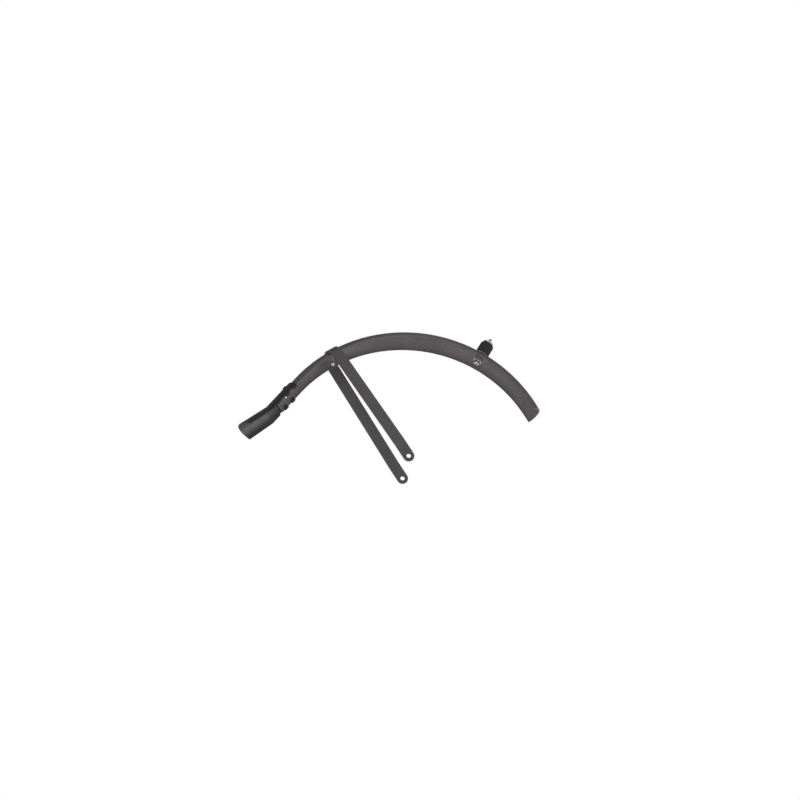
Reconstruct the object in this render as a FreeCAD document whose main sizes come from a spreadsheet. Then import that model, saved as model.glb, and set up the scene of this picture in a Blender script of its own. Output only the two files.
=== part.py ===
import FreeCAD, Part
import math
import os
import re

import Sketcher
from FreeCAD import Placement, Rotation, Vector

# Front mudguard for a child's bicycle.
# Frame: origin at the centre of the steerer plug's base, +Z up the plug's axis,
# +X forward, +Y to the rider's left. Millimetres and degrees.

os.makedirs("parts", exist_ok=True)
doc = FreeCAD.newDocument("front_mudguard")
sheet = doc.addObject("Spreadsheet::Sheet", "Dims")

SIZES = [
    # Blade: a channel of arc section turned about the wheel's axle, with a straight tail.
    ("crown_radius", 213.0),
    ("section_radius", 37.6),
    ("blade_width", 54.0),
    ("blade_wall", 2.2),
    ("lip_dia", 2.8),
    ("front_angle", 32.6),
    ("rear_angle", 80.3),
    ("tail_run", 40.7),
    ("tip_corner", 3.0),
    ("boss_dia", 14.0),
    ("boss_drop", 10.4),
    # Crown bolt and the expander plug it draws together.
    ("bolt_dia", 5.0),
    ("bolt_clear", 0.25),
    ("bolt_length", 40.0),
    ("head_dia", 8.5),
    ("head_height", 5.0),
    ("head_round", 1.0),
    ("socket_flats", 4.0),
    ("socket_depth", 2.5),
    ("bolt_washer_dia", 12.0),
    ("bolt_washer_thick", 1.2),
    ("base_washer_dia", 19.6),
    ("base_washer_thick", 1.2),
    ("plug_dia", 20.0),
    ("plug_height", 19.0),
    ("plug_round", 4.0),
    ("plate_dia", 15.0),
    ("plate_thick", 2.0),
    # Stay strap: one flat bar over the blade and down to the fork ends.
    ("strap_angle", 62.2),
    ("strap_width", 16.0),
    ("strap_thick", 2.5),
    ("strap_fit", 0.05),
    ("wrap_angle", 39.0),
    ("shoulder_half", 31.6),
    ("eye_span", 94.0),
    ("eye_height", 9.0),
    ("eye_dia", 6.4),
    ("flat_end", 24.0),
    ("bend_radius", 3.5),
    # Rivets.
    ("rivet_dia", 4.0),
    ("rivet_head_dia", 7.0),
    ("rivet_head_high", 1.5),
    ("rivet_tail_dia", 5.6),
    ("rivet_tail_high", 1.6),
    ("rivet_seat", 0.3),
    ("flap_rivet_set", 23.5),
    ("flap_rivet_angle", 20.0),
    # Mud flap: a channel over the blade's tail, deeper below it, bent outwards once and flared.
    ("flap_start", 13.1),
    ("flap_run", 48.9),
    ("flap_drop", 46.6),
    ("flap_bend_angle", 14.3),
    ("flap_fit", 0.3),
    ("flap_wall", 1.6),
    ("flap_half_angle", 48.0),
    ("skirt_clear", 3.8),
    ("skirt_half_angle", 51.2),
    ("mouth_radius", 46.0),
    ("mouth_half_angle", 48.0),
    ("flap_end_radius", 60.0),
    ("flap_corner", 8.0),
    # Hooked tabs of the flap, round the blade's lips.
    ("tab_length", 6.5),
    ("tab_pitch", 15.0),
    ("tab_lead", 0.6),
    ("tab_wall", 1.0),
    ("tab_rise", 2.6),
    ("tab_fit", 0.3),
]
for row, (alias, value) in enumerate(SIZES, start=1):
    sheet.set("A%d" % row, alias)
    sheet.set("B%d" % row, str(value))
    sheet.setAlias("B%d" % row, alias)
SEEN = {alias: "Dims." + alias for alias, _ in SIZES}
doc.recompute()


def val(expression):
    """Number that an expression on the sheet gives."""
    found = sheet.evalExpression(expression)
    return float(getattr(found, "Value", found))


def named(expression):
    """The same expression as seen from another object."""
    return re.sub(r"[a-z_]+", lambda word: SEEN.get(word.group(), word.group()), expression)


def new_body(label):
    body = doc.addObject("PartDesign::Body", label)
    body.Label = label
    return body


def plane_of(body, role):
    return next(f for f in body.Origin.OriginFeatures if f.Role == role)


def new_sketch(body, role, name, lift="0", place=None):
    """Sketch on one of the body's own planes, lifted along its normal or moved by a placement."""
    sketch = body.newObject("Sketcher::SketchObject", name)
    sketch.AttachmentSupport = [(plane_of(body, role), "")]
    sketch.MapMode = "FlatFace"
    if place is not None:
        plane = plane_of(body, role).Placement
        sketch.AttachmentOffset = plane.inverse().multiply(place).multiply(plane)
    elif lift != "0":
        sketch.setExpression("AttachmentOffset.Base.z", named(lift))
    doc.recompute()
    return sketch


def size(sketch, name, expression, kind, *refs):
    """Dimension of a sketch, driven by the sheet."""
    index = sketch.addConstraint(Sketcher.Constraint(kind, *refs, val(expression)))
    sketch.renameConstraint(index, name)
    sketch.setExpression("Constraints." + name, named(expression))


def polygon(sketch, corners):
    """Closed outline whose corners are pairs of expressions."""
    first = sketch.GeometryCount
    points = [Vector(val(a), val(b), 0) for a, b in corners]
    count = len(points)
    for i in range(count):
        sketch.addGeometry(Part.LineSegment(points[i], points[(i + 1) % count]), False)
    for i in range(count):
        sketch.addConstraint(Sketcher.Constraint("Coincident", first + i, 2, first + (i + 1) % count, 1))
    for i, (a, b) in enumerate(corners):
        for axis, expression in (("X", a), ("Y", b)):
            if val(expression) == 0.0:
                line = -2 if axis == "X" else -1
                sketch.addConstraint(Sketcher.Constraint("PointOnObject", first + i, 1, line))
            else:
                size(sketch, "%s%d" % (axis.lower() + "_of_", first + i), expression, "Distance" + axis,
                     -1, 1, first + i, 1)


def turned(label, corners):
    """Body turned about its own Z axis from an outline in X and Z."""
    body = new_body(label)
    sketch = new_sketch(body, "XZ_Plane", label + "_profile")
    polygon(sketch, corners)
    turn = body.newObject("PartDesign::Revolution", label + "_turn")
    turn.Profile = sketch
    turn.ReferenceAxis = (sketch, ["V_Axis"])
    turn.Angle = 360
    doc.recompute()
    return body


def round_edges(body, name, radius, height, fillet):
    """Fillet on the circular edges of one radius at one height."""
    before = body.Tip
    picked = []
    for index, edge in enumerate(before.Shape.Edges, start=1):
        curve = edge.Curve
        if not isinstance(curve, Part.Circle):
            continue
        if abs(curve.Radius - val(radius)) < 1e-4 and abs(curve.Center.z - val(height)) < 1e-4:
            picked.append("Edge%d" % index)
    feature = body.newObject("PartDesign::Fillet", name)
    feature.Base = (before, picked)
    feature.setExpression("Radius", named(fillet))
    doc.recompute()


def bore(body, name, radius, length, place):
    """Round hole through a body, along the placement's own Z axis."""
    hole = body.newObject("PartDesign::SubtractiveCylinder", name)
    hole.AttachmentSupport = [(plane_of(body, "XY_Plane"), "")]
    hole.MapMode = "FlatFace"
    hole.AttachmentOffset = place
    hole.setExpression("Radius", named(radius))
    hole.setExpression("Height", named(length))
    doc.recompute()


def lift(z):
    return Placement(Vector(0, 0, z), Rotation())


def along_x(x):
    return Placement(Vector(x, 0, 0), Rotation())


def about_x(degrees):
    return Placement(Vector(), Rotation(Vector(1, 0, 0), degrees))


def about_y(degrees):
    return Placement(Vector(), Rotation(Vector(0, 1, 0), degrees))


# The axle frame: wheel centre below the plug, its Z axis through the plug.
AXLE = lift(-val("crown_radius + base_washer_thick"))
ARC_CENTRE = "(crown_radius - section_radius)"
HALF_SINE = "(blade_width / 2 / section_radius)"
LIP_RADIUS = "(section_radius - lip_dia / 2)"


def arc_band(sketch, inner, outer, half_width=None, half_angle=None, height=ARC_CENTRE):
    """Arch-shaped band about the section's centre, with radial ends."""
    first = sketch.GeometryCount
    centre = Vector(0, val(height), 0)
    if half_angle:
        spread = math.radians(val(half_angle))
    else:
        spread = math.asin(val(half_width) / val(outer))
    up = math.pi / 2
    for radius in (outer, inner):
        circle = Part.Circle(centre, Vector(0, 0, 1), val(radius))
        sketch.addGeometry(Part.ArcOfCircle(circle, up - spread, up + spread), False)
    out, inn, right, left = first, first + 1, first + 2, first + 3
    for side in (spread, -spread):
        away = Vector(math.sin(side), math.cos(side), 0)
        sketch.addGeometry(Part.LineSegment(centre + away * val(outer), centre + away * val(inner)), False)
    joins = [
        ("Coincident", out, 3, inn, 3),
        ("PointOnObject", out, 3, -2),
        ("Coincident", right, 1, out, 1),
        ("Coincident", right, 2, inn, 1),
        ("Coincident", left, 1, out, 2),
        ("Coincident", left, 2, inn, 2),
        ("Symmetric", out, 1, out, 2, -2),
        ("PointOnObject", out, 3, right),
        ("PointOnObject", out, 3, left),
    ]
    for join in joins:
        sketch.addConstraint(Sketcher.Constraint(*join))
    size(sketch, "centre_height", height, "DistanceY", -1, 1, out, 3)
    size(sketch, "outer_radius", outer, "Radius", out)
    size(sketch, "inner_radius", inner, "Radius", inn)
    if half_angle:
        size(sketch, "width", "2 * (%s) * sin(%s * 1 deg)" % (outer, half_angle), "DistanceX", out, 2, out, 1)
    else:
        size(sketch, "width", "2 * (%s)" % half_width, "DistanceX", out, 2, out, 1)


LIP_SPAN = "(2 * %s * %s)" % (LIP_RADIUS, HALF_SINE)
LIP_HEIGHT = "(%s + %s * sqrt(1 - %s ^ 2))" % (ARC_CENTRE, LIP_RADIUS, HALF_SINE)


def draw_wall(sketch):
    arc_band(sketch, "section_radius - blade_wall", "section_radius", half_width="blade_width / 2")


def draw_lips(sketch):
    """Round bead on each long edge of the wall, flush outside."""
    for side in (1, -1):
        at = Vector(side * val(LIP_SPAN) / 2, val(LIP_HEIGHT), 0)
        sketch.addGeometry(Part.Circle(at, Vector(0, 0, 1), val("lip_dia / 2")), False)
    sketch.addConstraint(Sketcher.Constraint("Symmetric", 0, 3, 1, 3, -2))
    sketch.addConstraint(Sketcher.Constraint("Equal", 0, 1))
    size(sketch, "lip_size", "lip_dia / 2", "Radius", 0)
    size(sketch, "lip_span", LIP_SPAN, "DistanceX", 1, 3, 0, 3)
    size(sketch, "lip_height", LIP_HEIGHT, "DistanceY", -1, 1, 0, 3)


# The tail frame: the axle frame turned back to where the blade leaves the circle.
tail_turn = about_y(-val("rear_angle"))

# Blade: each section is turned about the axle and then run on straight behind.
blade = new_body("mudguard_blade")
for name, draw in (("wall", draw_wall), ("lip", draw_lips)):
    section = new_sketch(blade, "YZ_Plane", name + "_section")
    draw(section)
    sweep = blade.newObject("PartDesign::Revolution", name + "_sweep")
    sweep.Profile = section
    sweep.ReferenceAxis = (section, ["H_Axis"])
    sweep.Type = "TwoAngles"
    sweep.setExpression("Angle", named("front_angle"))
    sweep.setExpression("Angle2", named("rear_angle"))
    doc.recompute()
    tail_section = new_sketch(blade, "YZ_Plane", name + "_tail_section", place=tail_turn)
    draw(tail_section)
    tail = blade.newObject("PartDesign::Pad", name + "_tail")
    tail.Profile = tail_section
    tail.Reversed = True
    tail.setExpression("Length", named("tail_run"))
    doc.recompute()

boss = blade.newObject("PartDesign::AdditiveCylinder", "bolt_boss")
boss.AttachmentSupport = [(plane_of(blade, "XY_Plane"), "")]
boss.MapMode = "FlatFace"
boss.setExpression("AttachmentOffset.Base.z", named("crown_radius - boss_drop"))
boss.setExpression("Radius", named("boss_dia / 2"))
boss.setExpression("Height", named("boss_drop - blade_wall / 2"))
doc.recompute()

BOLT_HOLE = "bolt_dia / 2 + bolt_clear"
RIVET_DRILL = "4 * (blade_wall + strap_thick + flap_wall)"
bore(blade, "bolt_hole", BOLT_HOLE, "boss_drop * 2", lift(val("crown_radius - boss_drop * 1.5")))
strap_turn = about_y(-val("strap_angle"))
flap_rivet_line = along_x(-val("flap_rivet_set"))


def rivet_bores(body, name, frame, angle):
    """Pair of rivet holes, square to the arc of the section on each flank."""
    for tag, side in (("left", -1), ("right", 1)):
        lean = about_x(side * val(angle))
        inside = lift(val("section_radius - blade_wall * 3"))
        at = frame.multiply(lift(val(ARC_CENTRE))).multiply(lean).multiply(inside)
        bore(body, "%s_hole_%s" % (name, tag), "rivet_dia / 2", RIVET_DRILL, at)


rivet_bores(blade, "stay_rivet", strap_turn, "wrap_angle")
rivet_bores(blade, "flap_rivet", tail_turn.multiply(flap_rivet_line), "flap_rivet_angle")

# Rounded corners at the blade's front end, cut along the tip's own radius.
TIP_HALF = "(%s / 2 + lip_dia / 2)" % LIP_SPAN
tip = new_sketch(blade, "XY_Plane", "tip_corners", place=about_y(val("front_angle")))
for side in (1, -1):
    base = tip.GeometryCount
    r = val("tip_corner")
    y = val(TIP_HALF)
    over = val("blade_wall")
    outline = [(0, y - r), (over, y - r), (over, y + over), (-r, y + over), (-r, y)]
    points = [Vector(a, side * b, 0) for a, b in outline]
    for start, end in zip(points, points[1:]):
        tip.addGeometry(Part.LineSegment(start, end), False)
    middle = Vector(-r + r * math.sqrt(0.5), side * (y - r + r * math.sqrt(0.5)), 0)
    tip.addGeometry(Part.Arc(points[4], middle, points[0]), False)
    for i in range(5):
        tip.addConstraint(Sketcher.Constraint("Block", base + i))
corner_cut = blade.newObject("PartDesign::Pocket", "tip_corner_cut")
corner_cut.Profile = tip
corner_cut.Type = "ThroughAll"
corner_cut.Reversed = True
doc.recompute()
blade.Placement = AXLE


def strip(sketch, corners, radii, thick):
    """Closed outline of a bent strip: a centre line with a radius at each inner corner."""
    runs = []
    for side in (1, -1):
        geometry = []
        start = None
        for i, corner in enumerate(corners):
            if i == 0 or i == len(corners) - 1:
                other = corners[1] if i == 0 else corners[-2]
                along = (other - corner).normalize() * (1 if i == 0 else -1)
                here = corner + Vector(-along.y, along.x, 0) * (side * thick / 2)
                if start is not None:
                    geometry.append(Part.LineSegment(start, here))
                start = here
                continue
            back = (corner - corners[i - 1]).normalize()
            ahead = (corners[i + 1] - corner).normalize()
            turn = math.atan2(back.x * ahead.y - back.y * ahead.x, back.dot(ahead))
            hand = 1 if turn > 0 else -1
            reach = radii[i] * math.tan(abs(turn) / 2)
            enter = corner - back * reach
            centre = enter + Vector(-back.y, back.x, 0) * (hand * radii[i])
            radius = radii[i] - hand * side * thick / 2
            ends = []
            for line in (back, back + ahead, ahead):
                normal = Vector(-line.y, line.x, 0).normalize()
                ends.append(centre - normal * (hand * radius))
            geometry.append(Part.LineSegment(start, ends[0]))
            geometry.append(Part.Arc(*ends))
            start = ends[2]
        runs.append(geometry)
    first, last = runs[0][0].StartPoint, runs[1][0].StartPoint
    caps = [Part.LineSegment(first, last), Part.LineSegment(runs[0][-1].EndPoint, runs[1][-1].EndPoint)]
    for item in runs[0] + runs[1] + caps:
        index = sketch.addGeometry(item, False)
        sketch.addConstraint(Sketcher.Constraint("Block", index))


# Stay strap, in the axle frame turned back to the strap's angle.
strap = new_body("stay_strap")
bend = val("bend_radius + strap_thick / 2")
wrap = math.radians(val("wrap_angle"))
over_crown = val("section_radius + strap_fit + strap_thick / 2")
apex = val(ARC_CENTRE) + over_crown / math.cos(wrap)
shoulder = Vector(val("shoulder_half"), apex - val("shoulder_half") * math.tan(wrap), 0)
knee = Vector(val("eye_span / 2"), val("eye_height + flat_end"), 0)
foot = Vector(val("eye_span / 2"), val("eye_height"), 0)
right_side = [shoulder, knee, foot]
left_side = [Vector(-p.x, p.y, 0) for p in reversed(right_side)]
strap_path = new_sketch(strap, "YZ_Plane", "strap_profile")
strip(strap_path, left_side + [Vector(0, apex, 0)] + right_side,
      [0, bend, bend, over_crown, bend, bend, 0], val("strap_thick"))
strap_pad = strap.newObject("PartDesign::Pad", "strap_bar")
strap_pad.Profile = strap_path
strap_pad.SideType = "Symmetric"
strap_pad.setExpression("Length", named("strap_width"))
doc.recompute()
crosswise = about_x(-90)
for tag, side in (("left", 1), ("right", -1)):
    inside = side * val("eye_span / 2") - val("strap_thick / 2")
    end = strap.newObject("PartDesign::AdditiveCylinder", "round_end_" + tag)
    end.AttachmentSupport = [(plane_of(strap, "XY_Plane"), "")]
    end.MapMode = "FlatFace"
    end.AttachmentOffset = Placement(Vector(0, inside, val("eye_height")), crosswise.Rotation)
    end.setExpression("Radius", named("strap_width / 2"))
    end.setExpression("Height", named("strap_thick"))
    doc.recompute()
across = Placement(Vector(0, -val("eye_span"), val("eye_height")), crosswise.Rotation)
bore(strap, "eye_holes", "eye_dia / 2", "2 * eye_span", across)
rivet_bores(strap, "strap_rivet", Placement(), "wrap_angle")
strap.Placement = AXLE.multiply(strap_turn)


def rivet_pair(label, grip, frame, angle):
    """Two rivets, one on each flank, each turned with its tail's inner end at zero and its head outside."""
    top = "rivet_tail_high + %s" % grip
    left = turned(label + "_left", [
        ("0", "0"),
        ("rivet_tail_dia / 2", "0"),
        ("rivet_tail_dia / 2", "rivet_tail_high"),
        ("rivet_dia / 2", "rivet_tail_high"),
        ("rivet_dia / 2", top),
        ("rivet_head_dia / 2", top),
        ("rivet_head_dia / 2", top + " + rivet_head_high"),
        ("0", top + " + rivet_head_high"),
    ])
    round_edges(left, label + "_head_round", "rivet_head_dia / 2", top + " + rivet_head_high",
                "rivet_head_high * 0.8")
    round_edges(left, label + "_tail_round", "rivet_tail_dia / 2", "0", "rivet_tail_high * 0.6")
    seat = lift(val("section_radius - blade_wall - rivet_seat - rivet_tail_high"))
    lean = about_x(-val(angle))
    left.Placement = frame.multiply(lift(val(ARC_CENTRE))).multiply(lean).multiply(seat)
    right = doc.addObject("Part::Mirroring", label + "_right")
    right.Source = left
    right.Normal = (0, 1, 0)
    pair = doc.addObject("Part::Compound", label)
    pair.Links = [left, right]
    doc.recompute()
    return pair


stay_rivets = rivet_pair("stay_rivets", "rivet_seat + blade_wall + strap_fit + strap_thick",
                         strap.Placement, "wrap_angle")
flap_rivet = rivet_pair("flap_rivet", "rivet_seat + blade_wall + flap_fit + flap_wall",
                        AXLE.multiply(tail_turn).multiply(flap_rivet_line), "flap_rivet_angle")

# Mud flap, in the tail frame: one run over the tail and a deeper skirt behind it.
FLAP_IN = "(section_radius + flap_fit)"
FLAP_OUT = "(section_radius + flap_fit + flap_wall)"
FLAP_BEND = "(flap_start + flap_run)"
flap = new_body("mud_flap")
for name, half_angle, length in (("flap_upper", "flap_half_angle", "flap_run"),
                                 ("flap_skirt", "skirt_half_angle", FLAP_BEND + " - tail_run - skirt_clear")):
    bend_section = new_sketch(flap, "YZ_Plane", name + "_section", "-" + FLAP_BEND)
    arc_band(bend_section, FLAP_IN, FLAP_OUT, half_angle=half_angle)
    run = flap.newObject("PartDesign::Pad", name)
    run.Profile = bend_section
    run.setExpression("Length", named(length))
    doc.recompute()

# The lower run, in the tail frame bent outwards about the crown line: a loft to a wider mouth.
FLAP_CROWN = "(crown_radius + flap_fit + flap_wall)"
at_bend = along_x(-val(FLAP_BEND)).multiply(lift(val(FLAP_CROWN)))
bent = at_bend.multiply(about_y(val("flap_bend_angle"))).multiply(lift(-val(FLAP_CROWN)))
mouth = new_sketch(flap, "YZ_Plane", "mouth_section", place=bent.multiply(along_x(-val("flap_drop"))))
arc_band(mouth, "mouth_radius - flap_wall", "mouth_radius", half_angle="mouth_half_angle",
         height="(%s - mouth_radius)" % FLAP_CROWN)
lower = flap.newObject("PartDesign::AdditiveLoft", "flap_lower")
lower.Profile = bend_section
lower.Sections = [mouth]
lower.Ruled = True
doc.recompute()

# Rounded lower end of the flap: one wide arc and a small one at each corner.
end_x = -val("flap_drop")
wide = val("flap_end_radius")
small = val("flap_corner")
edge = val("mouth_radius * sin(mouth_half_angle * 1 deg)")
wide_centre = Vector(end_x + wide, 0, 0)
small_centre = Vector(end_x + wide - math.sqrt((wide - small) ** 2 - (edge - small) ** 2), edge - small, 0)
meet = wide_centre + (small_centre - wide_centre).normalize() * wide
between = small_centre + (meet - small_centre + Vector(0, small, 0)).normalize() * small
margin = val("flap_corner + flap_wall")
half = [Vector(end_x - margin, edge + margin, 0), Vector(small_centre.x, edge + margin, 0),
        Vector(small_centre.x, edge, 0), between, meet]
other = [Vector(p.x, -p.y, 0) for p in half]
outline = [Part.Arc(meet, Vector(end_x, 0, 0), other[4])]
for p in (half, other):
    outline += [Part.LineSegment(p[0], p[1]), Part.LineSegment(p[1], p[2]), Part.Arc(p[2], p[3], p[4])]
outline.append(Part.LineSegment(half[0], other[0]))
flap_end = new_sketch(flap, "XY_Plane", "flap_end_outline", place=bent)
for item in outline:
    index = flap_end.addGeometry(item, False)
    flap_end.addConstraint(Sketcher.Constraint("Block", index))
end_cut = flap.newObject("PartDesign::Pocket", "flap_end_cut")
end_cut.Profile = flap_end
end_cut.Type = "ThroughAll"
end_cut.Reversed = True
doc.recompute()

# Hooked tabs that reach round the blade's lips, two on each side.
LIP_ANGLE = "asin(%s)" % HALF_SINE
HOOK_TOP = "(%s - asin(tab_rise / %s))" % (LIP_ANGLE, LIP_RADIUS)
FOOT_TOP = "(%s + asin((lip_dia / 2 + tab_fit) / %s))" % (LIP_ANGLE, LIP_RADIUS)
FOOT_END = "(%s + asin(tab_wall / %s))" % (FOOT_TOP, LIP_RADIUS)
TAB_ROOT = "((flap_half_angle - 3) * 1 deg)"
TAB_IN = "(section_radius + flap_fit + tab_fit / 4)"
HOOK_OUT = "(%s - lip_dia / 2 - tab_fit)" % LIP_RADIUS
HOOK_IN = "(%s - tab_wall)" % HOOK_OUT
# Radius and angle of each corner, from the wall round under the lip, up inside it and back.
HOOK = [
    (FLAP_OUT, TAB_ROOT),
    (FLAP_OUT, FOOT_TOP),
    (TAB_IN, FOOT_END),
    (HOOK_OUT, FOOT_END),
    (HOOK_IN, FOOT_TOP),
    (HOOK_IN, HOOK_TOP),
    (HOOK_OUT, HOOK_TOP),
    (HOOK_OUT, FOOT_TOP),
    (TAB_IN, FOOT_TOP),
    (TAB_IN, TAB_ROOT),
]
hook = new_sketch(flap, "YZ_Plane", "tab_section", "-flap_start - tab_lead - tab_length")
for side in ("1", "-1"):
    corners = []
    for radius, angle in HOOK:
        corners.append(("%s * %s * sin(%s)" % (side, radius, angle),
                        "%s + %s * cos(%s)" % (ARC_CENTRE, radius, angle)))
    polygon(hook, corners)
tabs = flap.newObject("PartDesign::Pad", "tab_pair")
tabs.Profile = hook
tabs.setExpression("Length", named("tab_length"))
doc.recompute()
tab_row = flap.newObject("PartDesign::LinearPattern", "tab_row")
tab_row.Originals = [tabs]
tab_row.Direction = (plane_of(flap, "X_Axis"), [""])
tab_row.Reversed = True
tab_row.setExpression("Length", named("tab_pitch"))
tab_row.Occurrences = 2
flap.Tip = tab_row
doc.recompute()
rivet_bores(flap, "flap_rivet", flap_rivet_line, "flap_rivet_angle")
flap.Placement = AXLE.multiply(tail_turn)

# Expander plug, from the base washer up to the threaded plate.
base_washer = turned("plug_base_washer", [
    (BOLT_HOLE, "-base_washer_thick"),
    ("base_washer_dia / 2", "-base_washer_thick"),
    ("base_washer_dia / 2", "0"),
    (BOLT_HOLE, "0"),
])
plug = turned("steerer_plug", [
    (BOLT_HOLE, "0"),
    ("plug_dia / 2", "0"),
    ("plug_dia / 2", "plug_height"),
    (BOLT_HOLE, "plug_height"),
])
round_edges(plug, "plug_top_round", "plug_dia / 2", "plug_height", "plug_round")
PLATE_TOP = "plug_height + plate_thick"
top_plate = turned("plug_top_plate", [
    ("bolt_dia / 2", "plug_height"),
    ("plate_dia / 2", "plug_height"),
    ("plate_dia / 2", PLATE_TOP),
    ("bolt_dia / 2", PLATE_TOP),
])

# Bolt and its washer under the boss.
BOSS_END = "(-base_washer_thick - boss_drop)"
UNDER_HEAD = "(%s - bolt_washer_thick)" % BOSS_END
HEAD_END = "(%s - head_height)" % UNDER_HEAD
bolt = turned("crown_bolt", [
    ("0", HEAD_END),
    ("head_dia / 2", HEAD_END),
    ("head_dia / 2", UNDER_HEAD),
    ("bolt_dia / 2", UNDER_HEAD),
    ("bolt_dia / 2", UNDER_HEAD + " + bolt_length"),
    ("0", UNDER_HEAD + " + bolt_length"),
])
round_edges(bolt, "head_round_edge", "head_dia / 2", HEAD_END, "head_round")
round_edges(bolt, "bolt_tip_round", "bolt_dia / 2", UNDER_HEAD + " + bolt_length", "head_round / 2")
socket = new_sketch(bolt, "XY_Plane", "socket_outline", HEAD_END)
corner = "(socket_flats / sqrt(3))"
polygon(socket, [("%s * cos(%d deg)" % (corner, 30 + 60 * i), "%s * sin(%d deg)" % (corner, 30 + 60 * i))
                 for i in range(6)])
socket_cut = bolt.newObject("PartDesign::Pocket", "socket_cut")
socket_cut.Profile = socket
socket_cut.Reversed = True
socket_cut.setExpression("Length", named("socket_depth"))
doc.recompute()
bolt_washer = turned("bolt_washer", [
    (BOLT_HOLE, UNDER_HEAD),
    ("bolt_washer_dia / 2", UNDER_HEAD),
    ("bolt_washer_dia / 2", BOSS_END),
    (BOLT_HOLE, BOSS_END),
])

doc.recompute()
PARTS = [blade, strap, stay_rivets, flap, flap_rivet, base_washer, plug, top_plate, bolt, bolt_washer]
for item in doc.Objects:
    bad = [word for word in item.State if word in ("Invalid", "Error")]
    if bad:
        raise RuntimeError("%s is %s" % (item.Label, bad))
for item in PARTS:
    shape = item.Shape
    if shape.isNull() or not shape.isValid():
        raise RuntimeError("%s has no valid shape" % item.Label)
    shape.exportStep("parts/%s.step" % item.Label)
    print(item.Label, len(shape.Solids), "solids", round(shape.Volume), "mm3")
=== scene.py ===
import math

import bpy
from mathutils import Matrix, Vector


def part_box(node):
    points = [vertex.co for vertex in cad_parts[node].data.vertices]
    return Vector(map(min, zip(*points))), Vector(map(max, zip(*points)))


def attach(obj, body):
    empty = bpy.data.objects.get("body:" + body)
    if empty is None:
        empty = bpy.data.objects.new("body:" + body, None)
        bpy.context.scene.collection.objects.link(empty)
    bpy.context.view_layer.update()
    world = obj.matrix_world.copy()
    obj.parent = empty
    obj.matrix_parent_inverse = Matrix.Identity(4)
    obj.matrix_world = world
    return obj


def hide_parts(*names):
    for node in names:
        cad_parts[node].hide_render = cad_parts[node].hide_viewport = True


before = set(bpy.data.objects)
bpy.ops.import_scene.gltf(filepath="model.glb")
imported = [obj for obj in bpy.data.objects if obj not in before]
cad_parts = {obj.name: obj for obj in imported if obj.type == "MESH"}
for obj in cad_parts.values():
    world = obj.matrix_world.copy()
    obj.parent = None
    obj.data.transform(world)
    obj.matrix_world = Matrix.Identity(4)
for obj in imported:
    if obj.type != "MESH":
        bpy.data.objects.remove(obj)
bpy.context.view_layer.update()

# %% [markdown]
# # A front mudguard for a child's bicycle
# The solids come from the CAD model and already have their true size and place,
# in metres. This lesson dresses them: it sets the camera and the light, gives
# every piece the finish of its real material, and models the small forms that a
# solid model leaves plain: the bolt's thread and the rivets with their pins.

MM = 0.001
for name in sorted(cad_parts):
    low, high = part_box(name)
    print(name, "mm:", [round((b - a) / MM, 1) for a, b in zip(low, high)])

# %% [markdown]
# ## Camera
# The photograph looks up at the hollow side of the blade from a low place, some
# 22 degrees off the wheel's axle, from about three metres away. A camera can be
# turned by angles, or its axes can be given directly, as here: right and up are
# measured from the photograph, and the third axis follows from those two.

# %% Set the camera
VIEW_POINT = Vector((0.2721, -2.8110, -1.2315))
RIGHT = Vector((0.86395, -0.09111, 0.49526))
UP = Vector((-0.49115, -0.36952, 0.78881))
FOCAL_MM = 95.4
FAR_LIMIT = 50.0

camera = bpy.data.objects.new("camera", bpy.data.cameras.new("camera"))
bpy.context.collection.objects.link(camera)
back = RIGHT.cross(UP).normalized()
up = back.cross(RIGHT).normalized()
camera_axes = Matrix((RIGHT.normalized(), up, back)).transposed()
camera.matrix_world = Matrix.Translation(VIEW_POINT) @ camera_axes.to_4x4()
camera.data.lens = FOCAL_MM
camera.data.clip_end = FAR_LIMIT
bpy.context.scene.camera = camera
print("camera looks along", [round(-x, 3) for x in back])

# %% [markdown]
# ## Turning a round piece by hand
# Rivets and bolts are round, so each starts as a disc. Its top face is extruded
# and resized again and again, from one height and radius to the next, as a lathe
# hand would set one cut after another. A spun outline would do as well, but the
# list of heights and radii reads like a drawing.


# %% Turn a round piece
def turned(name, stations, sides=32):
    """Round piece about Z through a list of heights and radii."""
    height, radius = stations[0]
    bpy.ops.object.select_all(action="DESELECT")
    bpy.ops.mesh.primitive_circle_add(vertices=sides, radius=radius, fill_type="NGON",
                                      location=(0, 0, height))
    piece = bpy.context.object
    piece.name = name
    bpy.ops.object.transform_apply()
    bpy.ops.object.mode_set(mode="EDIT")
    bpy.ops.mesh.select_all(action="SELECT")
    for next_height, next_radius in stations[1:]:
        grow = next_radius / radius
        bpy.ops.mesh.extrude_region_move(TRANSFORM_OT_translate={"value": (0, 0, next_height - height)})
        bpy.ops.transform.resize(value=(grow, grow, 1), center_override=(0, 0, next_height))
        height, radius = next_height, next_radius
    bpy.ops.mesh.select_all(action="SELECT")
    bpy.ops.mesh.normals_make_consistent(inside=False)
    bpy.ops.object.mode_set(mode="OBJECT")
    return piece


# %% [markdown]
# ## Rivets
# The stay and the flap are held by blind rivets, set from outside. The dome has
# a small hole in which the broken pin shows, and inside the blade the pin's ball
# has pulled the tail into a bulb. A half ball and a cylinder would pass from afar,
# but a turned profile shows the hole and the bulb too. One rivet is turned for
# each grip, which is all that lies between bulb and dome.

# %% Turn a rivet
BLADE_WALL_MM = 2.2
TAIL_GAP_MM = 0.3
TAIL_HIGH_MM = 1.6
RIVET_SIDES = 28
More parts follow.
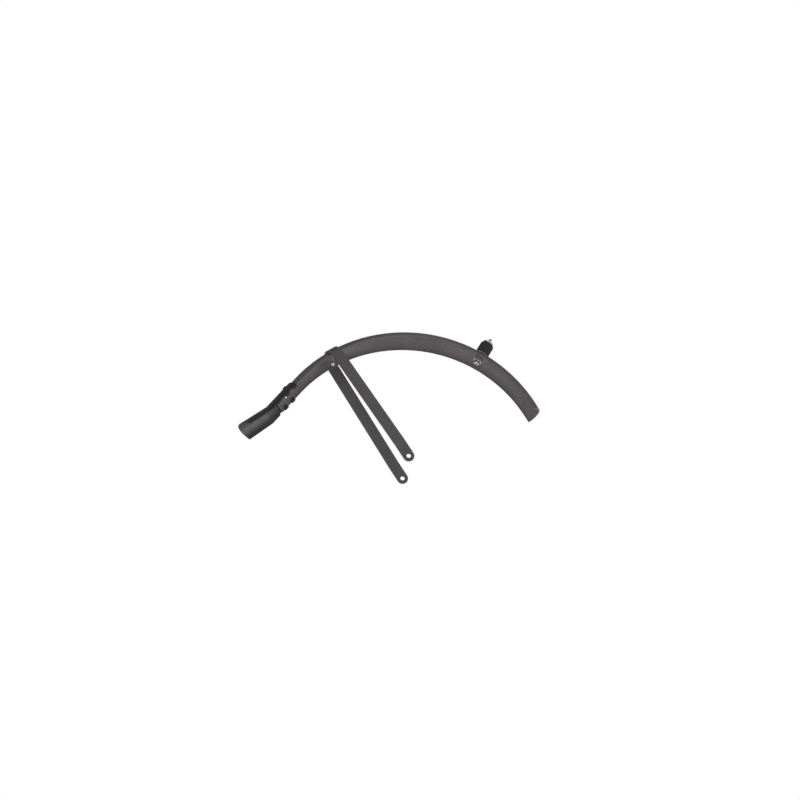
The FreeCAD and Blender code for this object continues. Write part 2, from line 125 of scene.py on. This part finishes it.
# Heights and radii in millimetres, from the tail's end up to the hole in the dome.
PIN_END = [(0.0, 0.7), (0.1, 1.2), (0.35, 1.5), (0.45, 1.35)]
BULB = [(0.5, 2.0), (0.7, 2.5), (1.0, 2.8), (1.3, 2.8), (1.5, 2.5), (TAIL_HIGH_MM, 2.0)]
DOME = [(0.0, 2.0), (0.0, 3.4), (0.12, 3.5), (0.4, 3.5), (0.85, 3.05), (1.25, 2.3), (1.45, 1.6)]
PIN_HOLE = [(1.5, 1.25), (1.15, 1.1), (1.1, 0.85), (1.3, 0.8)]


def blind_rivet(name, covering_mm):
    """Rivet about Z with its tail's end at zero, through the blade and what covers it."""
    dome_mm = TAIL_HIGH_MM + TAIL_GAP_MM + BLADE_WALL_MM + covering_mm
    profile = PIN_END + BULB + [(dome_mm + height, radius) for height, radius in DOME + PIN_HOLE]
    return turned(name, [(height * MM, radius * MM) for height, radius in profile], RIVET_SIDES)


# %% [markdown]
# A rivet stands square to the arc of the blade's section. Each is copied to the
# other flank, and both copies are turned about the centre of that arc: a mirror
# would do the same, but it would turn the copy's faces inside out.

# %% Lay a pair on the blade
SECTION_R = 37.6 * MM
TAIL_END_R = SECTION_R - (BLADE_WALL_MM + TAIL_GAP_MM + TAIL_HIGH_MM) * MM
RIVET_CREASE = math.radians(40)


def only(piece):
    """Select this piece alone and make it the active one."""
    bpy.ops.object.select_all(action="DESELECT")
    piece.select_set(True)
    bpy.context.view_layer.objects.active = piece


def rivet_pair(name, node, covering_mm, centre, outward, angle):
    """One rivet on each flank, as one piece that stands for the CAD node."""
    first = blind_rivet(name, covering_mm)
    only(first)
    bpy.ops.object.duplicate()
    second = bpy.context.object
    for rivet, flank in ((first, 1), (second, -1)):
        way = outward * math.cos(angle) + Vector((0, flank * math.sin(angle), 0))
        turn = way.to_track_quat("Z", "Y").to_matrix().to_4x4()
        rivet.matrix_world = Matrix.Translation(centre + way * TAIL_END_R) @ turn
    only(first)
    second.select_set(True)
    bpy.ops.object.join()
    bpy.ops.object.transform_apply()
    bpy.ops.object.shade_smooth_by_angle(angle=RIVET_CREASE)
    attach(first, "root")
    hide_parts(node)
    corner = [max(vertex.co[i] for vertex in first.data.vertices) for i in range(3)]
    apart = [round((a - b) / MM, 2) for a, b in zip(corner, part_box(node)[1])]
    print(name, "top corner less the CAD node's, mm:", apart)
    return first


# %% Place the four rivets
CROWN_R = 213.0 * MM
AXLE = Vector((0, 0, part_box("plug_base_washer")[0][2] - CROWN_R))
# A covering is the strap or the flap, with the small gap under it.
STRAP_ANGLE = math.radians(62.2)
STRAP_COVER_MM = 2.55
STAY_RIVET_ANGLE = math.radians(39)
TAIL_ANGLE = math.radians(80.3)
FLAP_COVER_MM = 1.9
FLAP_RIVET_SET = 23.5 * MM
FLAP_RIVET_ANGLE = math.radians(20)

strap_out = Vector((-math.sin(STRAP_ANGLE), 0, math.cos(STRAP_ANGLE)))
tail_out = Vector((-math.sin(TAIL_ANGLE), 0, math.cos(TAIL_ANGLE)))
tail_back = Vector((-math.cos(TAIL_ANGLE), 0, -math.sin(TAIL_ANGLE)))
stay_centre = AXLE + strap_out * (CROWN_R - SECTION_R)
flap_centre = AXLE + tail_out * (CROWN_R - SECTION_R) + tail_back * FLAP_RIVET_SET
stay_rivets = rivet_pair("stay_blind_rivets", "stay_rivets", STRAP_COVER_MM, stay_centre, strap_out,
                         STAY_RIVET_ANGLE)
flap_rivets = rivet_pair("flap_blind_rivets", "flap_rivet", FLAP_COVER_MM, flap_centre, tail_out,
                         FLAP_RIVET_ANGLE)
print("axle at", round(AXLE.z / MM, 1), "mm")

# %% [markdown]
# ## Crown bolt with its thread
# A socket-head bolt of 5 mm pulls the plate down on the plug. Its thread is one
# ridge that climbs 0.8 mm a turn: one edge with a raised middle is all that the
# Screw modifier needs. Stacked rings would be simpler, but they don't climb. The
# bar of thread is trimmed flat by bisecting, trimmed to a chamfered blank, joined
# to the turned head and shank, and the hexagon is cut.

# %% Sizes of the bolt
HEAD_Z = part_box("crown_bolt")[0][2]
TIP_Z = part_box("crown_bolt")[1][2]
HEAD_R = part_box("crown_bolt")[1][0]
HEAD_HIGH = 5.0 * MM
HEAD_ROUND = 1.0 * MM
BOLT_R = 2.5 * MM
PITCH = 0.8 * MM
CORE_R = 2.05 * MM
CREST_R = 2.475 * MM
THREAD_LONG = 22.0 * MM
CHAMFER = 0.5 * MM
SOCKET_FLATS = 4.0 * MM
SOCKET_DEEP = 2.5 * MM
thread_z = TIP_Z - THREAD_LONG
print("bolt", round((TIP_Z - HEAD_Z) / MM, 1), "mm over all, thread", round(THREAD_LONG / MM, 1), "mm")


# %% Helpers for edit mode and modifiers
def edit(piece, test):
    """Open a piece in edit mode with the vertices selected whose place passes a test."""
    only(piece)
    bpy.ops.object.mode_set(mode="EDIT")
    bpy.ops.mesh.select_mode(type="VERT")
    bpy.ops.mesh.select_all(action="DESELECT")
    bpy.ops.object.mode_set(mode="OBJECT")
    for vertex in piece.data.vertices:
        vertex.select = test(vertex.co)
    bpy.ops.object.mode_set(mode="EDIT")


def finish_with(piece, kind, **settings):
    """Add a modifier to a piece, set it and apply it."""
    only(piece)
    bpy.ops.object.modifier_add(type=kind)
    modifier = piece.modifiers[-1]
    for key, value in settings.items():
        setattr(modifier, key, value)
    bpy.ops.object.modifier_apply(modifier=modifier.name)


# %% Draw one turn of the thread as an edge
SPARE_TURNS = 3
start_z = thread_z - SPARE_TURNS / 2 * PITCH
bpy.ops.object.select_all(action="DESELECT")
bpy.ops.mesh.primitive_plane_add(size=PITCH, rotation=(math.pi / 2, 0, 0),
                                 location=(CORE_R - PITCH / 2, 0, start_z))
thread = bpy.context.object
bpy.ops.object.transform_apply()
edit(thread, lambda at: at.x < CORE_R - PITCH / 2)
bpy.ops.mesh.delete(type="VERT")
# Three cuts leave a vertex in the middle of the edge, and that one becomes the crest.
bpy.ops.mesh.select_all(action="SELECT")
bpy.ops.mesh.subdivide(number_cuts=3)
bpy.ops.object.mode_set(mode="OBJECT")
edit(thread, lambda at: abs(at.z - start_z) < PITCH / 8)
bpy.ops.transform.translate(value=(CREST_R - CORE_R, 0, 0))
bpy.ops.object.mode_set(mode="OBJECT")
print("edge of", len(thread.data.vertices), "vertices")

# %% Wind the thread and trim it flat
TURN_STEPS = 28
turns = math.ceil(THREAD_LONG / PITCH) + SPARE_TURNS
finish_with(thread, "SCREW", axis="Z", angle=math.tau, screw_offset=PITCH, iterations=turns,
            steps=TURN_STEPS, render_steps=TURN_STEPS)
edit(thread, lambda at: True)
bpy.ops.mesh.remove_doubles(threshold=PITCH / 100)
bpy.ops.mesh.bisect(plane_co=(0, 0, thread_z - PITCH / 2), plane_no=(0, 0, 1), use_fill=True,
                    clear_inner=True)
bpy.ops.mesh.select_all(action="SELECT")
bpy.ops.mesh.bisect(plane_co=(0, 0, TIP_Z + PITCH / 2), plane_no=(0, 0, 1), use_fill=True,
                    clear_outer=True)
bpy.ops.mesh.select_all(action="SELECT")
bpy.ops.mesh.normals_make_consistent(inside=False)
bpy.ops.object.mode_set(mode="OBJECT")
print("thread of", turns, "turns, faces:", len(thread.data.polygons))


# %% Join thread, shank and head
BLANK_R = 1.1 * BOLT_R


def combine(piece, tool, operation):
    """Join, cut or trim a piece with a tool, which is then thrown away."""
    finish_with(piece, "BOOLEAN", object=tool, operation=operation, solver="EXACT")
    bpy.data.objects.remove(tool)


blank = turned("blank", [(thread_z - PITCH / 4, BLANK_R), (TIP_Z - CHAMFER, BLANK_R),
                         (TIP_Z - CHAMFER, BOLT_R), (TIP_Z, BOLT_R - CHAMFER)])
combine(thread, blank, "INTERSECT")
shoulder_z = HEAD_Z + HEAD_HIGH
rim = [(HEAD_Z + HEAD_ROUND * (1 - math.sin(step)), HEAD_R - HEAD_ROUND * (1 - math.cos(step)))
       for step in (math.pi / 2, math.pi / 3, math.pi / 6, 0)]
bolt = turned("threaded_crown_bolt",
              rim + [(shoulder_z, HEAD_R), (shoulder_z, BOLT_R), (thread_z, BOLT_R)])
combine(bolt, thread, "UNION")
print("bolt without its socket, faces:", len(bolt.data.polygons))

# %% Cut the socket
BOLT_CREASE = math.radians(35)
bpy.ops.object.select_all(action="DESELECT")
bpy.ops.mesh.primitive_cylinder_add(vertices=6, radius=SOCKET_FLATS / math.sqrt(3),
                                    depth=2 * SOCKET_DEEP, location=(0, 0, HEAD_Z))
socket_tool = bpy.context.object
bpy.ops.object.transform_apply()
combine(bolt, socket_tool, "DIFFERENCE")
only(bolt)
bpy.ops.object.shade_smooth_by_angle(angle=BOLT_CREASE)
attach(bolt, "root")
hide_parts("crown_bolt")
print("bolt faces:", len(bolt.data.polygons))

# %% [markdown]
# ## A way to write materials
# A procedural material is a small net of nodes. One function adds a node, sets
# its values and joins its inputs, so that each finish below reads as a list of
# what is mixed with what. Colours are written as they look on a screen, and one
# more function turns them into the linear numbers that the renderer works with.


# %% Helpers for materials
def linear(hex_colour):
    """Linear RGBA of a colour written as six hex digits."""
    parts = [int(hex_colour[i:i + 2], 16) / 255 for i in (0, 2, 4)]
    return [p / 12.92 if p <= 0.04045 else ((p + 0.055) / 1.055) ** 2.4 for p in parts] + [1.0]


def per_metre(size_mm):
    """Texture scale that gives features of about this size."""
    return 1.0 / (size_mm * MM)


def put(tree, kind, values=None, links=None, **settings):
    """Add a node with its settings, socket values and incoming links."""
    node = tree.nodes.new(kind)
    for name, value in settings.items():
        setattr(node, name, value)
    for name, value in (values or {}).items():
        node.inputs[name].default_value = value
    for name, source in (links or {}).items():
        tree.links.new(source, node.inputs[name])
    return node


def new_material(name):
    """Empty node material; returns it with its tree and Object coordinates."""
    material = bpy.data.materials.new(name)
    material.use_nodes = True
    tree = material.node_tree
    tree.nodes.clear()
    return material, tree, put(tree, "ShaderNodeTexCoord").outputs["Object"]


def shade(tree, values, links):
    """Close a material with the main shader and its output."""
    shader = put(tree, "ShaderNodeBsdfPrincipled", values, links)
    put(tree, "ShaderNodeOutputMaterial", links={"Surface": shader.outputs["BSDF"]})


def ramp(tree, factor, *stops):
    """Colours spread over a factor; stops are pairs of place and hex."""
    node = put(tree, "ShaderNodeValToRGB", links={"Fac": factor})
    ends = node.color_ramp.elements
    for element, (place, colour) in zip((ends[0], ends[1]), (stops[0], stops[-1])):
        element.position = place
        element.color = linear(colour)
    for place, colour in stops[1:-1]:
        ends.new(place).color = linear(colour)
    return node.outputs["Color"]


def dress(piece, material):
    """Give a piece this material alone."""
    piece.data.materials.clear()
    piece.data.materials.append(material)
    print(piece.name, "is", material.name)


# %% [markdown]
# ## Blade: polypropylene, moulded with a fine grain
# The blade is a grey-black plastic whose mould was etched, so it scatters light
# softly. Two noises do this: a slow one, some centimetres wide, for the cloudy
# tone of a moulded part, and a fine one for the etched grain, which is drawn a
# little coarse so that it shows. One flat colour would look like card.

# %% Blade colour and grain
CLOUD_MM = 38
GRAIN_MM = 0.9
RELIEF = 0.1 * MM
# The Mix node's colour sockets have the same names as its others, so they go by number.
MIX_A = 6
MIX_B = 7
MIX_OUT = 2
blade_skin, tree, place = new_material("polypropylene_moulded_charcoal")
clouds = put(tree, "ShaderNodeTexNoise", {"Scale": per_metre(CLOUD_MM), "Detail": 3.0}, {"Vector": place})
grain = put(tree, "ShaderNodeTexNoise", {"Scale": per_metre(GRAIN_MM), "Detail": 2.0}, {"Vector": place})
tone = ramp(tree, clouds.outputs["Fac"], (0.3, "554f51"), (0.7, "605a5c"))
speck = ramp(tree, grain.outputs["Fac"], (0.3, "dddbdc"), (0.7, "ffffff"))
grained = put(tree, "ShaderNodeMix", {0: 1.0}, {MIX_A: tone, MIX_B: speck}, data_type="RGBA",
              blend_type="MULTIPLY")
print("blade grain", GRAIN_MM, "mm, clouds", CLOUD_MM, "mm")

# %% [markdown]
# Two places are painted paler. The lips, told by the distance from the wheel's plane,
# are partly rubbed where hands hold the blade and partly a painted highlight along the
# rim. Round the bolt the boss gets painted light that lifts its shaded side, fading out
# from a point in its middle.

# %% Blade's paler lips, painted light on the boss, and finish
LIP_FROM = 25.0 * MM
LIP_TO = 27.0 * MM
LIP_RUB_AND_HIGHLIGHT = 0.35
BOSS_MIDDLE = (0.0, 0.0, -9.0 * MM)
BOSS_REACH = 8.6 * MM
BOSS_PAINTED_LIGHT_END = 13.8 * MM
BOSS_PAINTED_LIGHT = 0.8
sides = put(tree, "ShaderNodeSeparateXYZ", links={"Vector": place})
aside = put(tree, "ShaderNodeMath", links={0: sides.outputs["Y"]}, operation="ABSOLUTE")
# Paler lips: partly rubbed wear and partly a painted highlight along the rim.
lip = put(tree, "ShaderNodeMapRange", {"From Min": LIP_FROM, "From Max": LIP_TO, "To Max": LIP_RUB_AND_HIGHLIGHT},
          {"Value": aside.outputs[0]})
rub_and_highlight = put(tree, "ShaderNodeMath", links={0: lip.outputs["Result"], 1: clouds.outputs["Fac"]},
             operation="MULTIPLY")
lip_rub_and_highlight_colour = put(tree, "ShaderNodeMix", {MIX_B: linear("7d787a")},
           {0: rub_and_highlight.outputs[0], MIX_A: grained.outputs[MIX_OUT]}, data_type="RGBA")
# Painted light: the boss is made paler, so that its shaded side looks as light as the blade.
reach = put(tree, "ShaderNodeVectorMath", {1: BOSS_MIDDLE}, {0: place}, operation="DISTANCE")
boss_painted_light = put(tree, "ShaderNodeMapRange",
             {"From Min": BOSS_REACH, "From Max": BOSS_PAINTED_LIGHT_END, "To Min": BOSS_PAINTED_LIGHT, "To Max": 0.0},
             {"Value": reach.outputs["Value"]})
colour = put(tree, "ShaderNodeMix", {MIX_B: linear("857f81")},
             {0: boss_painted_light.outputs["Result"], MIX_A: lip_rub_and_highlight_colour.outputs[MIX_OUT]}, data_type="RGBA")
rough = put(tree, "ShaderNodeMapRange", {"To Min": 0.42, "To Max": 0.56}, {"Value": grain.outputs["Fac"]})
bump = put(tree, "ShaderNodeBump", {"Strength": 0.25, "Distance": RELIEF}, {"Height": grain.outputs["Fac"]})
shade(tree, {"IOR": 1.49, "Specular IOR Level": 0.25},
      {"Base Color": colour.outputs[MIX_OUT], "Roughness": rough.outputs["Result"],
       "Normal": bump.outputs["Normal"]})
dress(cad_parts["mudguard_blade"], blade_skin)

# %% [markdown]
# ## Strap: steel bar, powder coated
# Powder flows together in the oven into a skin with a shallow waviness, known as
# orange peel, a millimetre or two from crest to crest. A wide soft noise as bump
# gives it: as real waves it would need very many faces. The coat is a little
# darker and glossier than the blade.

# %% Strap material
PEEL_MM = 1.6
COAT_CLOUD_MM = 30
strap_coat, tree, place = new_material("steel_powder_coated_charcoal")
peel = put(tree, "ShaderNodeTexNoise", {"Scale": per_metre(PEEL_MM), "Detail": 1.0}, {"Vector": place})
clouds = put(tree, "ShaderNodeTexNoise", {"Scale": per_metre(COAT_CLOUD_MM), "Detail": 2.0},
             {"Vector": place})
tone = ramp(tree, clouds.outputs["Fac"], (0.3, "4f4b4c"), (0.7, "585455"))
rough = put(tree, "ShaderNodeMapRange", {"To Min": 0.36, "To Max": 0.46}, {"Value": clouds.outputs["Fac"]})
bump = put(tree, "ShaderNodeBump", {"Strength": 0.25, "Distance": RELIEF}, {"Height": peel.outputs["Fac"]})
shade(tree, {"IOR": 1.5, "Specular IOR Level": 0.3},
      {"Base Color": tone, "Roughness": rough.outputs["Result"], "Normal": bump.outputs["Normal"]})
dress(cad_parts["stay_strap"], strap_coat)

# %% [markdown]
# ## Flap: soft vinyl, moulded
# The flap is blacker and smoother than the blade, with a waxy shine that makes
# its hollow face look pale where it mirrors a lamp and black where it doesn't.
# A painted pale streak would be wrong from every other side, so the colour stays
# nearly black and the roughness alone decides how wide the shine spreads.

# %% Flap material
VINYL_CLOUD_MM = 20
VINYL_GRAIN_MM = 1.4
flap_skin, tree, place = new_material("vinyl_moulded_black")
clouds = put(tree, "ShaderNodeTexNoise", {"Scale": per_metre(VINYL_CLOUD_MM), "Detail": 3.0},
             {"Vector": place})
grain = put(tree, "ShaderNodeTexNoise", {"Scale": per_metre(VINYL_GRAIN_MM), "Detail": 2.0},
            {"Vector": place})
tone = ramp(tree, clouds.outputs["Fac"], (0.3, "191718"), (0.7, "211f20"))
rough = put(tree, "ShaderNodeMapRange", {"To Min": 0.34, "To Max": 0.46}, {"Value": clouds.outputs["Fac"]})
bump = put(tree, "ShaderNodeBump", {"Strength": 0.15, "Distance": RELIEF}, {"Height": grain.outputs["Fac"]})
shade(tree, {"IOR": 1.53, "Specular IOR Level": 0.25},
      {"Base Color": tone, "Roughness": rough.outputs["Result"], "Normal": bump.outputs["Normal"]})
dress(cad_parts["mud_flap"], flap_skin)

# %% [markdown]
# ## Plug: natural rubber, moulded
# Rubber is nearly black and dull, with a chalky bloom that comes and goes. Where
# the bloom lies the skin is paler, duller and a little raised, so one noise
# drives all three: three separate ones would disagree.

# %% Plug material
BLOOM_MM = 6
plug_rubber, tree, place = new_material("rubber_moulded_black")
bloom = put(tree, "ShaderNodeTexNoise", {"Scale": per_metre(BLOOM_MM), "Detail": 4.0}, {"Vector": place})
tone = ramp(tree, bloom.outputs["Fac"], (0.3, "262324"), (0.7, "322f30"))
rough = put(tree, "ShaderNodeMapRange", {"To Min": 0.6, "To Max": 0.8}, {"Value": bloom.outputs["Fac"]})
bump = put(tree, "ShaderNodeBump", {"Strength": 0.2, "Distance": RELIEF}, {"Height": bloom.outputs["Fac"]})
shade(tree, {"IOR": 1.52, "Specular IOR Level": 0.25},
      {"Base Color": tone, "Roughness": rough.outputs["Result"], "Normal": bump.outputs["Normal"]})
dress(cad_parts["steerer_plug"], plug_rubber)

# %% [markdown]
# ## Fasteners: mild steel, zinc plated
# Zinc is a grey-white metal with a satin sheen. The bath leaves faint clouds of
# blue and yellow, and handling varies the gloss, so one noise drives both. The
# washer under the plug is dipped in molten zinc instead, which freezes dull and
# in flakes, and a pattern of cells draws them.

# %% Zinc materials
PLATE_CLOUD_MM = 3
FLAKE_MM = 2.5
zinc, tree, place = new_material("steel_zinc_plated")
clouds = put(tree, "ShaderNodeTexNoise", {"Scale": per_metre(PLATE_CLOUD_MM), "Detail": 3.0},
             {"Vector": place})
tone = ramp(tree, clouds.outputs["Fac"], (0.3, "a9acb0"), (0.5, "b4b4b3"), (0.7, "b6b3ac"))
rough = put(tree, "ShaderNodeMapRange", {"To Min": 0.24, "To Max": 0.4}, {"Value": clouds.outputs["Fac"]})
shade(tree, {"Metallic": 1.0}, {"Base Color": tone, "Roughness": rough.outputs["Result"]})
for piece in (bolt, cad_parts["plug_top_plate"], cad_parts["bolt_washer"]):
    dress(piece, zinc)

dull_zinc, tree, place = new_material("steel_hot_dip_galvanised")
flakes = put(tree, "ShaderNodeTexVoronoi", {"Scale": per_metre(FLAKE_MM)}, {"Vector": place})
tone = ramp(tree, flakes.outputs["Distance"], (0.1, "6f6e6e"), (0.6, "848382"))
shade(tree, {"Metallic": 0.6, "Roughness": 0.6}, {"Base Color": tone})
dress(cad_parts["plug_base_washer"], dull_zinc)

# %% [markdown]
# The rivets come with their domes already painted to match the strap and the
# flap, while the tails inside the blade stay bare. Two materials on two sets of
# faces would do, but one distance tells paint from metal as well: what lies
# farther from the centre of the blade's section than its outer skin is a dome.

# %% Rivet materials
RIVET_CLOUD_MM = 2


def rivet_finish(name, centre, paint):
    """Bare zinc inside the blade's skin and paint outside it."""
    material, tree, place = new_material(name)
    reach = put(tree, "ShaderNodeVectorMath", {1: centre}, {0: place}, operation="DISTANCE")
    painted = put(tree, "ShaderNodeMath", {1: SECTION_R}, {0: reach.outputs["Value"]},
                  operation="GREATER_THAN")
    clouds = put(tree, "ShaderNodeTexNoise", {"Scale": per_metre(RIVET_CLOUD_MM), "Detail": 2.0},
                 {"Vector": place})
    bare = ramp(tree, clouds.outputs["Fac"], (0.3, "b0b2b4"), (0.7, "c4c0b6"))
    tone = put(tree, "ShaderNodeMix", {MIX_B: linear(paint)}, {0: painted.outputs[0], MIX_A: bare},
               data_type="RGBA")
    metal = put(tree, "ShaderNodeMath", {0: 1.0}, {1: painted.outputs[0]}, operation="SUBTRACT")
    rough = put(tree, "ShaderNodeMapRange", {"To Min": 0.3, "To Max": 0.42},
                {"Value": clouds.outputs["Fac"]})
    shade(tree, {"Specular IOR Level": 0.3},
          {"Base Color": tone.outputs[MIX_OUT], "Metallic": metal.outputs[0],
           "Roughness": rough.outputs["Result"]})
    return material


dress(stay_rivets, rivet_finish("steel_rivet_charcoal_dome", stay_centre, "474345"))
dress(flap_rivets, rivet_finish("steel_rivet_black_dome", flap_centre, "242223"))

# %% [markdown]
# ## Room
# The photograph is a cut-out on white, seen from below, so the pale floor lies
# far down. More light would whiten the background but wash out the part. Instead
# the floor and the world ask what kind of ray has come: one from the camera, or
# one that a surface mirrors or lets through, sees them brighter than the rest.


# %% Which rays see the room bright
def shown(tree):
    """One for rays from the camera and for mirrored or refracted ones, else zero."""
    ray = put(tree, "ShaderNodeLightPath").outputs
    mirrored = put(tree, "ShaderNodeMath", links={0: ray["Is Glossy Ray"], 1: ray["Is Transmission Ray"]},
                   operation="MAXIMUM")
    return put(tree, "ShaderNodeMath", links={0: ray["Is Camera Ray"], 1: mirrored.outputs[0]},
               operation="MAXIMUM").outputs[0]


# %% Floor
FLOOR_Z = -3.0
FLOOR_R = 40.0
FLOOR_GLOW = 0.4
bpy.ops.object.select_all(action="DESELECT")
bpy.ops.mesh.primitive_circle_add(vertices=64, radius=FLOOR_R, fill_type="NGON", location=(0, 0, FLOOR_Z))
floor = bpy.context.object
floor.name = "floor"
floor_paint, tree, _ = new_material("floor_painted_pale")
glow = put(tree, "ShaderNodeMath", {1: FLOOR_GLOW}, {0: shown(tree)}, operation="MULTIPLY")
shade(tree, {"Base Color": linear("efefed"), "Roughness": 0.8, "Emission Color": linear("ffffff")},
      {"Emission Strength": glow.outputs[0]})
dress(floor, floor_paint)

# %% [markdown]
# The world is white for those rays and half as bright for the rest, which light
# the part. One even colour would do, but a grey ceiling, as in a studio that is
# lit from the sides, keeps the faces that mirror it from looking chalky.

# %% World
AMBIENT = 0.5
world = bpy.data.worlds.new("studio")
bpy.context.scene.world = world
world.use_nodes = True
tree = world.node_tree
tree.nodes.clear()
level = put(tree, "ShaderNodeMapRange", {"To Min": AMBIENT, "To Max": 1.0}, {"Value": shown(tree)})
way = put(tree, "ShaderNodeTexCoord").outputs["Generated"]
height = put(tree, "ShaderNodeSeparateXYZ", links={"Vector": way}).outputs["Z"]
paint = ramp(tree, height, (0.62, "ffffff"), (0.85, "a8a8a8"))
sky = put(tree, "ShaderNodeBackground", links={"Color": paint, "Strength": level.outputs["Result"]})
put(tree, "ShaderNodeOutputWorld", links={"Surface": sky.outputs["Background"]})
print("ambient light", AMBIENT)

# %% [markdown]
# ## Lamps
# Four soft boxes light the part. The low one fills the hollow side, the front one
# stands by the camera, and the side one ahead of the part gives the flap's hollow
# face its pale shine. The back one lights the outer skin for views from behind,
# and isn't mirrored, because the photograph shows no such highlight.

# %% Soft boxes
MIDDLE = Vector((-0.06, 0.0, -0.13))


def soft_box(name, at, size, watts, mirrored=True):
    """Square area lamp that faces the part; glossy faces mirror it, or only its light arrives."""
    lamp = bpy.data.objects.new(name, bpy.data.lights.new(name, "AREA"))
    bpy.context.collection.objects.link(lamp)
    lamp.data.shape = "SQUARE"
    lamp.data.size = size
    lamp.data.energy = watts
    lamp.visible_glossy = mirrored
    lamp.location = at
    lamp.rotation_euler = (MIDDLE - Vector(at)).to_track_quat("-Z", "Y").to_euler()
    print(name, "lamp", watts, "W,", size, "m wide")


soft_box("low", (-0.35, 0.7, -2.0), 1.4, 18.0)
soft_box("front", (0.1, -2.4, -1.1), 1.2, 20.0)
soft_box("side", (1.5, 0.65, -0.5), 0.9, 13.0)
soft_box("back", (-0.9, 1.9, 1.2), 1.5, 24.0, mirrored=False)

# %% [markdown]
# ## Grey screen
# In the photograph the flap's near wall is dark beside its pale hollow face. A
# shiny wall is as bright as what it mirrors, and this one mirrors the room at its
# left, so a grey screen stands there. Only mirrored rays meet it: it takes no
# light from the part and stays out of every view.

# %% Screen
SCREEN_AT = Vector((-1.3, 0.75, 0.3))
SCREEN_SIZE = 2.2
bpy.ops.object.select_all(action="DESELECT")
bpy.ops.mesh.primitive_plane_add(size=SCREEN_SIZE, location=SCREEN_AT,
                                 rotation=(MIDDLE - SCREEN_AT).to_track_quat("Z", "Y").to_euler())
screen = bpy.context.object
screen.name = "grey_screen"
screen.visible_camera = False
screen.visible_diffuse = False
screen.visible_shadow = False
screen_paint, tree, _ = new_material("screen_painted_grey")
shade(tree, {"Base Color": linear("9c9c9c"), "Roughness": 0.9}, {})
dress(screen, screen_paint)

# %% [markdown]
# ## Colour view
# Colours are shown as they are written, with no film look on top.

# %% Compare the boxes
bpy.context.scene.view_settings.view_transform = "Standard"
